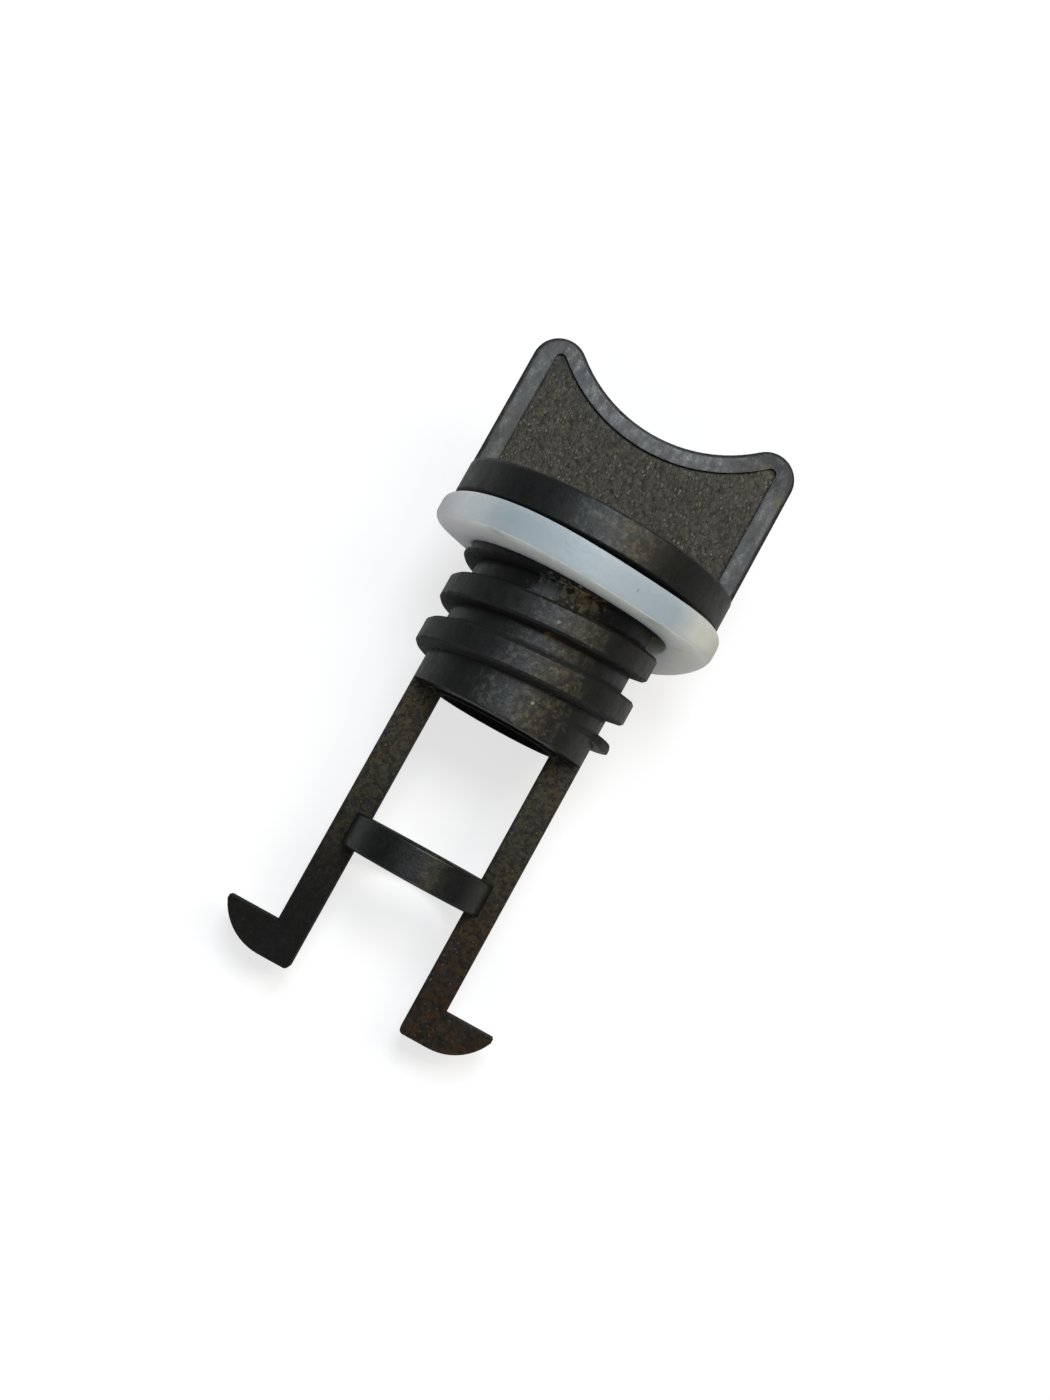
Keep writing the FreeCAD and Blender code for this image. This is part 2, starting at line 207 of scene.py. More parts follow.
def useGroup(tree, group, values=None):
    node = addNode(tree, "ShaderNodeGroup", node_tree=group)
    setInputs(tree, node, values or {})
    return node.outputs


floatSocket = "NodeSocketFloat"
vectorSocket = "NodeSocketVector"


# Place on the plug in its own mm
def makePlaceGroup():
    outputs = {name: floatSocket for name in ("X", "Y", "Z", "Radius")}
    tree, _, out = startGroup("plugPlace", {}, {"Place": vectorSocket, **outputs})
    coordinates = addNode(tree, "ShaderNodeTexCoord").outputs["Object"]
    place = addNode(tree, "ShaderNodeMapping", {
        "Vector": coordinates, "Location": plugOrigin, "Rotation": plugAxes.to_euler(), "Scale": (mm, mm, mm),
    }, vector_type="TEXTURE").outputs[0]
    parts = addNode(tree, "ShaderNodeSeparateXYZ", {0: place}).outputs
    tree.links.new(place, out["Place"])
    for name in ("X", "Y", "Z"):
        tree.links.new(parts[name], out[name])
    flat = vectorCalc(tree, "MULTIPLY", place, (1, 1, 0))
    tree.links.new(vectorCalc(tree, "LENGTH", flat), out["Radius"])
    return tree


# Moulded grain: domes for the bump, a shade for each grain, and the few grains to be painted bright as glints
grainShape = {
    "bend": (0.4, 0.4, 0.4),                  # mm by which noise bends the cells
    "bendDetail": 2.0,
    "dome": 0.5,                              # height of a cell's dome beside that of the noise
    "noiseScale": 0.6,                        # of the cells' own
    "noiseDetail": 4.0,
    "noiseRough": 0.65,
    "cellShade": 0.55,
    "noiseShade": 1.1,
    "darker": 0.35,
    "speckEdge": (0.55, 0.2),
}


def makeGrainGroup():
    tree, given, out = startGroup("mouldGrain", {
        "Place": (vectorSocket, (0, 0, 0)),
        "Scale": (floatSocket, 3.0),
        "Specks": (floatSocket, 0.1),
    }, {"Height": floatSocket, "Grain": floatSocket, "Speck": floatSocket})
    place, scale, shape = given["Place"], given["Scale"], grainShape
    bendValues = {"Vector": place, "Scale": scale, "Detail": shape["bendDetail"]}
    bend = addNode(tree, "ShaderNodeTexNoise", bendValues).outputs["Color"]
    bent = vectorCalc(tree, "MULTIPLY_ADD", bend, shape["bend"], place)
    cells = addNode(tree, "ShaderNodeTexVoronoi", {"Vector": bent, "Scale": scale}).outputs
    chance = addNode(tree, "ShaderNodeSeparateXYZ", {0: cells["Color"]}).outputs[0]
    noiseScale = calc(tree, "MULTIPLY", scale, shape["noiseScale"])
    rough = noise(tree, place, noiseScale, shape["noiseDetail"], shape["noiseRough"])
    dome = calc(tree, "MULTIPLY", calc(tree, "SUBTRACT", 1.0, cells["Distance"]), shape["dome"])
    tree.links.new(calc(tree, "ADD", dome, rough), out["Height"])
    cellShade = calc(tree, "MULTIPLY", chance, shape["cellShade"])
    shade = calc(tree, "ADD", cellShade, calc(tree, "MULTIPLY", rough, shape["noiseShade"]))
    tree.links.new(calc(tree, "SUBTRACT", shade, shape["darker"]), out["Grain"])
    chosen = less(tree, chance, given["Specks"])
    tree.links.new(allOf(tree, chosen, soften(tree, cells["Distance"], *shape["speckEdge"])), out["Speck"])
    return tree


# Soft spot with a ragged edge, for stains, scuffs and dust
spotShape = {
    "noise": (1.6, 4.0, 0.65),                # scale per mm, detail, roughness
    "reach": 4.0,                             # of the raggedness, in spot sizes
    "edge": (1.0, 0.2),
}


def makeSpotGroup():
    tree, given, out = startGroup("raggedSpot", {
        "Place": (vectorSocket, (0, 0, 0)),
        "Centre": (vectorSocket, (0, 0, 0)),
        "Stretch": (vectorSocket, (1, 1, 1)),
        "Size": (floatSocket, 1.0),
        "Ragged": (floatSocket, 0.5),
    }, {"Mask": floatSocket})
    away = vectorCalc(tree, "SUBTRACT", given["Place"], given["Centre"])
    distance = vectorCalc(tree, "LENGTH", vectorCalc(tree, "DIVIDE", away, given["Stretch"]))
    share = calc(tree, "DIVIDE", distance, given["Size"])
    reach = calc(tree, "MULTIPLY", given["Ragged"], spotShape["reach"])
    stray = wander(tree, noise(tree, given["Place"], *spotShape["noise"]), reach)
    tree.links.new(soften(tree, calc(tree, "ADD", share, stray), *spotShape["edge"]), out["Mask"])
    return tree


plugPlace = makePlaceGroup()
mouldGrain = makeGrainGroup()
raggedSpot = makeSpotGroup()


# Lays a list of spots over a colour: (colour, centre, stretch, size, raggedness, strength)
def addSpots(tree, place, color, spots, colors):
    for name, centre, stretch, size, ragged, strength in spots:
        values = {"Place": place, "Centre": centre, "Stretch": stretch, "Size": size, "Ragged": ragged}
        mask = useGroup(tree, raggedSpot, values)["Mask"]
        color = mixColor(tree, calc(tree, "MULTIPLY", mask, strength), color, colors[name])
    return color


def startMaterial(name):
    material = bpy.data.materials.new(name)
    material.use_nodes = True
    tree = material.node_tree
    tree.nodes.clear()
    shader = tree.nodes.new("ShaderNodeBsdfPrincipled")
    output = tree.nodes.new("ShaderNodeOutputMaterial")
    tree.links.new(shader.outputs[0], output.inputs["Surface"])
    return material, tree, shader


def addBump(tree, shader, height):
    bump = addNode(tree, "ShaderNodeBump", {"Height": height, "Strength": 1.0, "Distance": mm})
    tree.links.new(bump.outputs[0], shader.inputs["Normal"])


# Mesh object with its normals turned outwards, that stays with the plug
def makePiece(name, points, faces, material):
    mesh = bpy.data.meshes.new(name)
    mesh.from_pydata(points, [], faces)
    work = bmesh.new()
    work.from_mesh(mesh)
    bmesh.ops.recalc_face_normals(work, faces=work.faces)
    work.to_mesh(mesh)
    work.free()
    mesh.polygons.foreach_set("use_smooth", [True] * len(mesh.polygons))
    mesh.materials.append(material)
    piece = bpy.data.objects.new(name, mesh)
    bpy.context.scene.collection.objects.link(piece)
    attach(piece, "root")
    return piece


# Quads between each ring of points and the next
def bridgeRings(rings, count, closed):
    faces = []
    for ring in range(rings if closed else rings - 1):
        here, there = ring * count, (ring + 1) % rings * count
        for i in range(count):
            j = (i + 1) % count
            faces.append((here + i, here + j, there + j, there + i))
    return faces


# Faces of a row of rings with a cap at both ends
def tubeFaces(rings, count):
    last = (rings - 1) * count
    return bridgeRings(rings, count, False) + [tuple(range(count)), tuple(range(last, last + count))]


# Black moulded plastic of the plug, with its wear, the dirt of use, and painted shade, sheen and glints
plastic = {
    "rim": (0.033, 0.0355, 0.036, 1),
    "smooth": (0.0034, 0.0047, 0.0044, 1),
    "smoothRight": (0.0048, 0.0046, 0.0026, 1),
    "panel": (0.010, 0.0085, 0.0045, 1),
    "panelLight": (0.062, 0.055, 0.037, 1),
    "legTop": (0.006, 0.004, 0.001, 1),
    "legLight": (0.041, 0.034, 0.016, 1),
    # the hooks' colours hold painted shade, darker than the legs above them
    "leftHook": (0.0015, 0.0015, 0.001, 1),
    "rightHook": (0.012, 0.0062, 0.0012, 1),
    # dark colour of real nicks and wisps, also used as painted shade in the thread's corners, round the
    # panel, on the grip's edge faces and at the thread's start
    "grimeAndShade": (0.0022, 0.0022, 0.0020, 1),
    # bright grains painted as glints
    "speck": (0.17, 0.155, 0.115, 1),
    "gold": (0.13, 0.10, 0.05, 1),
    "scuff": (0.085, 0.092, 0.095, 1),
    # dust with a painted warm sheen on the turned surfaces' fronts
    "film": (0.029, 0.0235, 0.0105, 1),
    # painted cool reflection on the turned surfaces
    "coolSheen": (0.0085, 0.0125, 0.0145, 1),
    "wisp": (0.072, 0.068, 0.055, 1),
    # light painted where the washer's shadow falls on the root
    "paintedLightPatch": (0.13, 0.145, 0.15, 1),
    "rust": (0.22, 0.135, 0.035, 1),
    "crumb": (0.27, 0.23, 0.15, 1),
    "redRust": (0.055, 0.013, 0.005, 1),
    "dust": (0.34, 0.31, 0.25, 1),
    "shade": (0.014, 0.0135, 0.012, 1),
    # near black painted as the bore's shade
    "boreDark": (0.0003, 0.0003, 0.0003, 1),
    "coldTint": (0.85, 0.95, 1.08, 1),
    "warmTint": (1.18, 1.02, 0.88, 1),
}
plasticSpots = [
    # colour, centre and stretch in mm, size in mm, raggedness, strength
    # painted light on the root under the washer, where its shadow falls: a light patch, and a patch of dust
    # and sheen beside it
    ("paintedLightPatch", (-1.5, -9.4, -5.9), (1.2, 1, 0.9), 2.0, 0.55, 0.8),
    ("film", (2.0, -9.4, -6.0), (1.4, 1, 0.9), 2.4, 0.8, 1.0),
    ("rust", (1.9, -9.4, -5.1), (1.3, 1, 0.8), 1.6, 0.9, 0.7),
    ("rust", (3.0, -9.0, -5.3), (1, 1, 0.8), 0.9, 0.9, 0.6),
    ("crumb", (0.6, -9.6, -5.3), (1.2, 1, 0.9), 1.3, 2.2, 0.75),
    ("crumb", (2.2, -9.3, -5.6), (1.2, 1, 0.9), 1.0, 2.4, 0.7),
    ("redRust", (2.02, -9.33, -4.75), (1, 1, 0.7), 0.4, 0.5, 0.8),
    ("redRust", (3.18, -9.0, -5.73), (1, 1, 0.7), 0.35, 0.5, 0.7),
    ("rust", (0.4, -9.54, -9.75), (1.2, 1, 0.5), 0.8, 0.9, 0.5),
    ("redRust", (1.8, -9.4, -9.7), (3.0, 1, 0.5), 0.7, 0.9, 0.6),
    ("rust", (1.9, -9.36, -13.4), (1.3, 1, 0.5), 0.9, 0.9, 0.35),
    ("dust", (2.3, -9.26, -16.17), (1, 1, 0.8), 0.28, 0.4, 0.7),
    # painted shade on the thin start of the thread
    ("grimeAndShade", (9.3, -3.4, -15.7), (1, 1.3, 0.8), 1.0, 0.3, 0.9),
    ("gold", (10.7, -1.6, -15.9), (1, 1.8, 0.8), 0.7, 0.6, 0.22),
    ("dust", (-0.92, -9.8, -4.45), (1, 1.6, 1.6), 0.4, 0.1, 1.0),
    ("dust", (0.77, -11.22, -8.38), (1, 1, 0.8), 0.3, 0.6, 0.5),
    ("shade", (-12.0, -2.0, 16.4), (1, 1, 1), 4.0, 0.5, 0.35),
    ("scuff", (0.0, -2.0, 13.4), (6, 1, 1), 1.5, 0.5, 0.45),
    ("shade", (13.8, -2.0, 8.5), (1, 1, 4), 1.7, 0.6, 0.3),
    ("shade", (-13.8, -2.0, 6.0), (1, 1, 2), 1.5, 0.9, 0.3),
    ("gold", (-13.3, -2.0, 5.2), (0.8, 1, 2), 1.2, 1.2, 0.14),
    ("gold", (11.3, -2.0, 16.6), (1, 1, 0.6), 1.1, 1.3, 0.45),
    ("gold", (14.0, -2.0, 14.2), (0.7, 1, 1), 0.8, 1.3, 0.45),
    ("gold", (-13.9, -2.0, 8.3), (1, 1, 1.2), 0.9, 1.2, 0.16),
]


# Moulded grain of each region: cells per mm, and the share of grains painted bright as glints
plasticGrains = {
    "panel": {"Scale": 2.8, "Specks": 0.2},
    "leg": {"Scale": 3.1, "Specks": 0.08},
    "fine": {"Scale": 4.2, "Specks": 0.2},
}
# Noises of the wear and the painted sheen: scale per mm, detail, roughness
plasticNoises = {
    "cloud": (0.35, 3.0, 0.55),
    "mottle": (1.5, 4.0, 0.7),
    "stray": (0.8, 4.0, 0.6),
    "wisp": (1.5, 6.0, 0.76),
    "scuff": (1.1, 5.0, 0.74),
    "nick": (3.6, 2.0, 0.6),
}
# How much a place is stretched before a noise is laid on it
stretches = {
    "panel": (1.35, 1.0, 0.75),
    "scuff": (1.0, 1.0, 0.6),
    "nick": (1.0, 1.0, 0.45),
}
# Soft steps over a level, a distance or a noise: from, to, and the values there if not 0 and 1
ramps = {
    # levels between which painted shade darkens the legs into the hooks' colour
    "hookFade": (-24.0, -46.0),
    "legGrain": (0.22, 0.78),
    "hookGrain": (0.15, 0.85, 0.15, 2.15),
    "panelGrain": (0.1, 0.9),
    "fineGrain": (0.0, 1.0, 0.55, 1.45),
    "rightSide": (1.0, 8.0),
    "tint": (0.35, 0.65),
    "gripEdge": (plug["gripThick"] / 2 - 0.03, plug["gripThick"] / 2 - 0.2),
    "underFlange": (plug["flangeTop"], plug["flangeTop"] - 0.4),
    "filmLeft": (0.2, 1.6),
    "filmRight": (0.0, -2.2),
    "coolSheenLeft": (-4.2, -1.6),
    "coolSheenRight": (1.6, 0.4),
    "wispLeft": (-4.5, -1.5),
    "wispRight": (0.0, -2.5),
    "dustSheenMottle": (0.40, 0.58, 0.1, 1.0),
    "lightWisp": (0.50, 0.62, 0.0, 0.6),
    "darkWisp": (0.49, 0.38, 0.0, 0.5),
    "lightScuff": (0.50, 0.58, 0.0, 0.42),
    "darkScuff": (0.47, 0.39, 0.0, 0.6),
    "nick": (0.63, 0.70, 0.0, 0.7),
    "panelLine": (0.22, 0.06),
    "besideCrest": (plug["threadCrest"] - 0.05, plug["threadCrest"] + 0.1),
    "besideFoot": (plug["threadFoot"] + 0.45, plug["threadFoot"] + 0.1),
    "aboveCut": (plug["threadCut"], plug["threadCut"] + 0.3),
}
# Reach and strength of the wear, the dirt, and the painted shade and sheen
wear = {
    "strayReach": 4.5,                        # mm from one extreme of the edges of the dust and painted sheen to the other
    "filmEnd": {"barrel": 6.6, "hoop": 3.4},  # how far right of the middle the dust and painted sheen end
    "hornShade": {"Centre": (12.9, -2.0, 17.6), "Stretch": (1.3, 1, 1), "Size": 4.6, "Ragged": 0.45},
    "hornStrength": 0.8,
    "hornDull": 0.14,                         # added to the roughness there
    "lineWander": 0.2,                        # mm that the painted shade line round the panel wanders
    # strength of the painted shade round the panel, on the grip's edge faces and in the thread's corners
    "paintedShadeStrength": 0.85,
    "threadShadeTop": -2.0,                         # level that the thread's painted shade ends below
    "panelSpecks": 0.75,
    "filmSpecks": 0.35,
    "legSpecks": 0.5,
    "leftHookSpecks": 0.12,
    "rightHookSpecks": 0.4,
}
# Roughness of each region, and how far clouds and rubbing shift it
roughness = {
    "turned": 0.49,
    "grip": 0.46,
    "panel": 0.55,
    "leg": 0.74,
    "rightHook": 0.9,
    "leftHook": 1.0,
    "hoop": 0.41,
    "grimeAndShade": 0.72,
    "bore": 1.0,
    "cloudReach": 0.16,
    "rubReach": 0.6,
    "rimRubReach": 1.3,
}
specular = 0.42
grainDepth = {"turned": 0.020, "grip": 0.012, "panel": 0.19, "leg": 0.19}       # mm
# How far each region reaches over its own edge, in mm
margins = {
    "grip": 0.03,
    "leg": 0.03,
    "outline": 0.1,
    "barrel": 0.5,
    "root": 0.1,
}


# How far inside the panel's outline a place is, in mm
def panelInset(tree, place, sideways):
    reach = plug["gripHalf"] - plug["hornRadius"]
    bothRadii = plug["saddleRadius"] + plug["hornRadius"]
    saddleCentre = (0, 0, plug["gripTop"] - plug["hornRadius"] + math.sqrt(bothRadii ** 2 - reach ** 2))
    fromSaddle = vectorCalc(tree, "DISTANCE", vectorCalc(tree, "MULTIPLY", place, (1, 0, 1)), saddleCentre)
    inSide = calc(tree, "SUBTRACT", plug["gripHalf"] - plug["panelRim"], sideways)
    inSaddle = calc(tree, "SUBTRACT", fromSaddle, plug["saddleRadius"] + plug["panelTopRim"])
    return calc(tree, "SMOOTH_MIN", inSide, inSaddle, plug["panelCorner"])


# Places, masks and noises that several effects of the plastic need
def findRegions(tree):
    spot = useGroup(tree, plugPlace)
    at = SimpleNamespace(**{name.lower(): spot[name] for name in ("Place", "X", "Y", "Z", "Radius")})
    sideways = calc(tree, "ABSOLUTE", at.x)
    depth = calc(tree, "ABSOLUTE", at.y)
    at.left = less(tree, at.x, 0.0)
    at.grip = greater(tree, at.z, plug["flangeTop"] + margins["grip"])
    at.inset = panelInset(tree, at.place, sideways)
    outlined = allOf(tree, at.grip, greater(tree, at.inset, -margins["outline"]))
    at.panel = allOf(tree, outlined, less(tree, depth, (plug["gripThick"] - plug["panelDepth"]) / 2))
    at.rim = allOf(tree, at.grip, unless(tree, outlined))
    # edge faces of the grip, which get painted shade
    at.gripEdge = allOf(tree, at.rim, soften(tree, depth, *ramps["gripEdge"]))
    at.leg = allOf(tree, less(tree, at.z, plug["barrelEnd"] - margins["leg"]),
                   greater(tree, sideways, plug["legInside"] - margins["leg"]),
                   less(tree, depth, plug["legThick"] / 2 + margins["leg"]))
    at.bore = allOf(tree, less(tree, at.radius, plug["lipRadius"]),
                    less(tree, at.z, plug["boreTop"]), greater(tree, at.z, plug["lipEnd"]))
    at.turned = allOf(tree, unless(tree, at.grip), unless(tree, at.leg), unless(tree, at.bore))
    at.barrel = greater(tree, at.z, plug["barrelEnd"] - margins["barrel"])
    at.hoop = allOf(tree, unless(tree, at.barrel), unless(tree, at.leg))
    at.towardHook = soften(tree, at.z, *ramps["hookFade"])

    slanted = vectorCalc(tree, "MULTIPLY", at.place, stretches["panel"])
    at.panelGrain = useGroup(tree, mouldGrain, {"Place": slanted, **plasticGrains["panel"]})
    at.legGrain = useGroup(tree, mouldGrain, {"Place": at.place, **plasticGrains["leg"]})
    at.fineGrain = useGroup(tree, mouldGrain, {"Place": at.place, **plasticGrains["fine"]})
    at.cloud = noise(tree, at.place, *plasticNoises["cloud"])
    at.mottle = noise(tree, at.place, *plasticNoises["mottle"])
    scuffPlace = vectorCalc(tree, "MULTIPLY", at.place, stretches["scuff"])
    at.scuff = noise(tree, scuffPlace, *plasticNoises["scuff"])
    hornSpot = useGroup(tree, raggedSpot, {"Place": at.place, **wear["hornShade"]})
    at.horn = allOf(tree, hornSpot["Mask"], at.rim)
    return at


# Colour of the clean plastic, with painted shade that darkens the legs towards the hooks, the left one most
def baseColorWithLegShade(tree, at):
    legGrain = at.legGrain["Grain"]
    hook = mixColor(tree, at.left, plastic["rightHook"], plastic["leftHook"])
    hook = tintColor(tree, hook, soften(tree, legGrain, *ramps["hookGrain"]))
    leg = mixColor(tree, soften(tree, legGrain, *ramps["legGrain"]), plastic["legTop"], plastic["legLight"])
    # painted shade: the legs darken into the hooks' colour
    leg = mixColor(tree, at.towardHook, leg, hook)
    rightSide = soften(tree, at.x, *ramps["rightSide"])
    turned = mixColor(tree, rightSide, plastic["smooth"], plastic["smoothRight"])
    turned = tintColor(tree, turned, soften(tree, at.fineGrain["Grain"], *ramps["fineGrain"]))
    color = mixColor(tree, at.grip, turned, plastic["rim"])
    return mixColor(tree, at.leg, color, leg)


# Dust with a painted warm sheen on the right of the turned surfaces' fronts, a painted cool reflection as its
# cooler left edge, and light and dark wisps over them
def addDustAndSheen(tree, at, color):
    stray = wander(tree, noise(tree, at.place, *plasticNoises["stray"]), wear["strayReach"])
    along = calc(tree, "ADD", at.x, stray)
    end = mixValue(tree, at.barrel, wear["filmEnd"]["hoop"], wear["filmEnd"]["barrel"])
    fromEnd = calc(tree, "SUBTRACT", along, end)
    front = allOf(tree, at.turned, less(tree, at.y, 0.0), soften(tree, at.z, *ramps["underFlange"]))
    dustSheenMottle = allOf(tree, front, soften(tree, at.mottle, *ramps["dustSheenMottle"]))
    # painted reflection: a cool sheen to the left of the warm one
    coolSheen = allOf(tree, soften(tree, along, *ramps["coolSheenLeft"]),
                 soften(tree, along, *ramps["coolSheenRight"]), dustSheenMottle, at.barrel)
    at.film = allOf(tree, soften(tree, along, *ramps["filmLeft"]),
                    soften(tree, fromEnd, *ramps["filmRight"]), dustSheenMottle)
    color = mixColor(tree, coolSheen, color, plastic["coolSheen"])
    color = mixColor(tree, at.film, color, plastic["film"])
    wispZone = allOf(tree, soften(tree, along, *ramps["wispLeft"]),
                     soften(tree, fromEnd, *ramps["wispRight"]), front, at.barrel)
    wisp = noise(tree, at.place, *plasticNoises["wisp"])
    light = allOf(tree, wispZone, soften(tree, wisp, *ramps["lightWisp"]))
    color = mixColor(tree, light, color, plastic["wisp"])
    dark = allOf(tree, wispZone, soften(tree, wisp, *ramps["darkWisp"]))
    color = mixColor(tree, dark, color, plastic["grimeAndShade"])
    warmth = soften(tree, at.cloud, *ramps["tint"])
    return tintColor(tree, color, mixColor(tree, warmth, plastic["coldTint"], plastic["warmTint"]))


# Scuffs and nicks of the rim, then the panel with a line of painted shade round it, and painted shade on the
# grip's edge faces
def finishGrip(tree, at, color):
    color = mixColor(tree, calc(tree, "MULTIPLY", at.horn, wear["hornStrength"]), color, plastic["shade"])
    nickPlace = vectorCalc(tree, "MULTIPLY", at.place, stretches["nick"])
    nick = noise(tree, nickPlace, *plasticNoises["nick"])
    marks = [(at.scuff, "lightScuff", "scuff"), (at.scuff, "darkScuff", "shade"), (nick, "nick", "grimeAndShade")]
    for mark, ramp, name in marks:
        color = mixColor(tree, allOf(tree, at.rim, soften(tree, mark, *ramps[ramp])), color, plastic[name])
    panelGrain = soften(tree, at.panelGrain["Grain"], *ramps["panelGrain"])
    panel = mixColor(tree, panelGrain, plastic["panel"], plastic["panelLight"])
    color = mixColor(tree, at.panel, color, panel)
    # painted shade: a dark line round the panel, where its recess wall shades it
    offLine = calc(tree, "ABSOLUTE", calc(tree, "ADD", at.inset, wander(tree, at.mottle, wear["lineWander"])))
    line = allOf(tree, at.grip, soften(tree, offLine, *ramps["panelLine"]), wear["paintedShadeStrength"])
    color = mixColor(tree, line, color, plastic["grimeAndShade"])
    # painted shade on the grip's edge faces
    edge = calc(tree, "MULTIPLY", at.gripEdge, wear["paintedShadeStrength"])
    return mixColor(tree, edge, color, plastic["grimeAndShade"])


# Painted shade in the corners of the thread
def addThreadCornerShade(tree, at, color):
    pitch = plug["threadPitch"]
    turn = calc(tree, "MULTIPLY", calc(tree, "ARCTAN2", at.y, at.x), pitch / math.tau)
    climb = calc(tree, "SUBTRACT", calc(tree, "SUBTRACT", at.z, turn), plug["threadStart"])
    climb = calc(tree, "ABSOLUTE", calc(tree, "WRAP", climb, pitch / 2, -pitch / 2))
    at.corner = allOf(tree, soften(tree, climb, *ramps["besideCrest"]),
                      soften(tree, climb, *ramps["besideFoot"]),
                      greater(tree, at.radius, plug["rootRadius"] - margins["root"]),
                      soften(tree, at.z, *ramps["aboveCut"]), less(tree, at.z, wear["threadShadeTop"]))
    return mixColor(tree, calc(tree, "MULTIPLY", at.corner, wear["paintedShadeStrength"]), color, plastic["grimeAndShade"])


# Painted glints: grains painted bright on the panel, the dust and sheen, and the legs
def addSpecks(tree, at, color):
    onPanel = allOf(tree, at.panelGrain["Speck"], at.panel, wear["panelSpecks"])
    onFilm = allOf(tree, at.fineGrain["Speck"], at.film, wear["filmSpecks"])
    color = mixColor(tree, calc(tree, "ADD", onPanel, onFilm), color, plastic["speck"])
    share = mixValue(tree, at.left, wear["rightHookSpecks"], wear["leftHookSpecks"])
    share = mixValue(tree, at.towardHook, wear["legSpecks"], share)
    return mixColor(tree, allOf(tree, at.legGrain["Speck"], at.leg, share), color, plastic["gold"])


def plasticRoughness(tree, at):
    hook = mixValue(tree, at.left, roughness["rightHook"], roughness["leftHook"])
    leg = mixValue(tree, at.towardHook, roughness["leg"], hook)
    rough = mixValue(tree, at.grip, roughness["turned"], roughness["grip"])
    rough = mixValue(tree, at.panel, rough, roughness["panel"])
    rough = mixValue(tree, at.leg, rough, leg)
    rough = calc(tree, "ADD", rough, calc(tree, "MULTIPLY", at.horn, wear["hornDull"]))
    rough = mixValue(tree, at.hoop, rough, roughness["hoop"])
    rough = mixValue(tree, calc(tree, "MAXIMUM", at.corner, at.gripEdge), rough, roughness["grimeAndShade"])
    rough = calc(tree, "ADD", rough, wander(tree, at.cloud, roughness["cloudReach"]))
    rubReach = mixValue(tree, at.rim, roughness["rubReach"], roughness["rimRubReach"])
    rough = calc(tree, "ADD", rough, wander(tree, at.scuff, rubReach))
    return mixValue(tree, at.bore, rough, roughness["bore"])


def plasticHeight(tree, at):
    fineDepth = mixValue(tree, at.grip, grainDepth["turned"], grainDepth["grip"])
    height = calc(tree, "MULTIPLY", at.fineGrain["Height"], fineDepth)
    onPanel = calc(tree, "MULTIPLY", at.panelGrain["Height"], grainDepth["panel"])
    height = mixValue(tree, at.panel, height, onPanel)
    onLeg = calc(tree, "MULTIPLY", at.legGrain["Height"], grainDepth["leg"])
    return mixValue(tree, at.leg, height, onLeg)


def makePlastic():
    material, tree, shader = startMaterial("plugPlastic")
    at = findRegions(tree)
    color = baseColorWithLegShade(tree, at)
    for layer in (addDustAndSheen, finishGrip, addThreadCornerShade, addSpecks):
        color = layer(tree, at, color)
    color = addSpots(tree, at.place, color, plasticSpots, plastic)
    # painted shade: the inside of the bore is painted near black
    color = mixColor(tree, at.bore, color, plastic["boreDark"])
    tree.links.new(color, shader.inputs["Base Color"])
    tree.links.new(plasticRoughness(tree, at), shader.inputs["Roughness"])
    shader.inputs["Specular IOR Level"].default_value = specular
    addBump(tree, shader, plasticHeight(tree, at))
    return material


plugPlastic = makePlastic()
plugNode = frame["nodes"]["plug_body"]
plugNode.data.materials.clear()
plugNode.data.materials.append(plugPlastic)
for face in plugNode.data.polygons:
    face.material_index = 0

# Blunt start of the thread at the barrel's right: its section in mm as (radius, level) pairs
threadStart = {
    "firstAngle": -27.0,                      # degrees round the axis from the plug's right side
    "lastAngle": 32.0,
    "steps": 36,
    "bluntAngle": 24.0,
    "bluntPower": 1.3,
    "tipSize": 0.03,                          # share of the section that its first ring keeps
    "tipHeight": 0.4,
    "fadeShare": 0.3,                         # the last part of its length sinks back into the ridge
    "core": (9.35, -15.85),
    "section": [(9.35, -15.0), (10.1, -15.12), (10.6, -15.24), (10.95, -15.38), (11.12, -15.58),
                (11.18, -15.8), (11.17, -16.02), (11.1, -16.24), (10.96, -16.4), (10.6, -16.48),
                (10.1, -16.5), (9.35, -16.5)],
}


# How large the section is at an angle, at a share of the way along
def threadStartSize(angle, share):
    tip, fade = threadStart["tipSize"], threadStart["fadeShare"]
    blunt = min(1.0, (angle - threadStart["firstAngle"]) / threadStart["bluntAngle"])
    size = tip + (1 - tip) * blunt ** threadStart["bluntPower"]
    return size * (1 - max(0.0, share + fade - 1))


def makeThreadStart():
    section, core = threadStart["section"], threadStart["core"]
    first, last = threadStart["firstAngle"], threadStart["lastAngle"]
    low, high = section[-1][1], section[0][1]
    points = []
    for step in range(threadStart["steps"] + 1):
        share = step / threadStart["steps"]
        angle = first + (last - first) * share
        size = threadStartSize(angle, share)
        height = threadStart["tipHeight"] + (1 - threadStart["tipHeight"]) * size
        climb = plug["threadPitch"] * max(angle, 0) / 360
        turn = math.radians(angle)
        for radius, level in section:
            lift = climb * (level - low) / (high - low)
            reach = core[0] + (radius - core[0]) * size
            z = core[1] + (level + lift - core[1]) * height
            points.append(onPlug(reach * math.cos(turn), reach * math.sin(turn), z))
    faces = tubeFaces(threadStart["steps"] + 1, len(section))
    makePiece("thread_start", points, faces, plugPlastic)


# Ragged nub of moulding flash under the washer
flashNub = {
    "place": (-0.92, -9.62, -4.45),
    "size": (0.17, 0.42, 0.34),
    "rings": 9,
    "steps": 14,
    "ragged": 0.16,
    "lobes": 3,
}


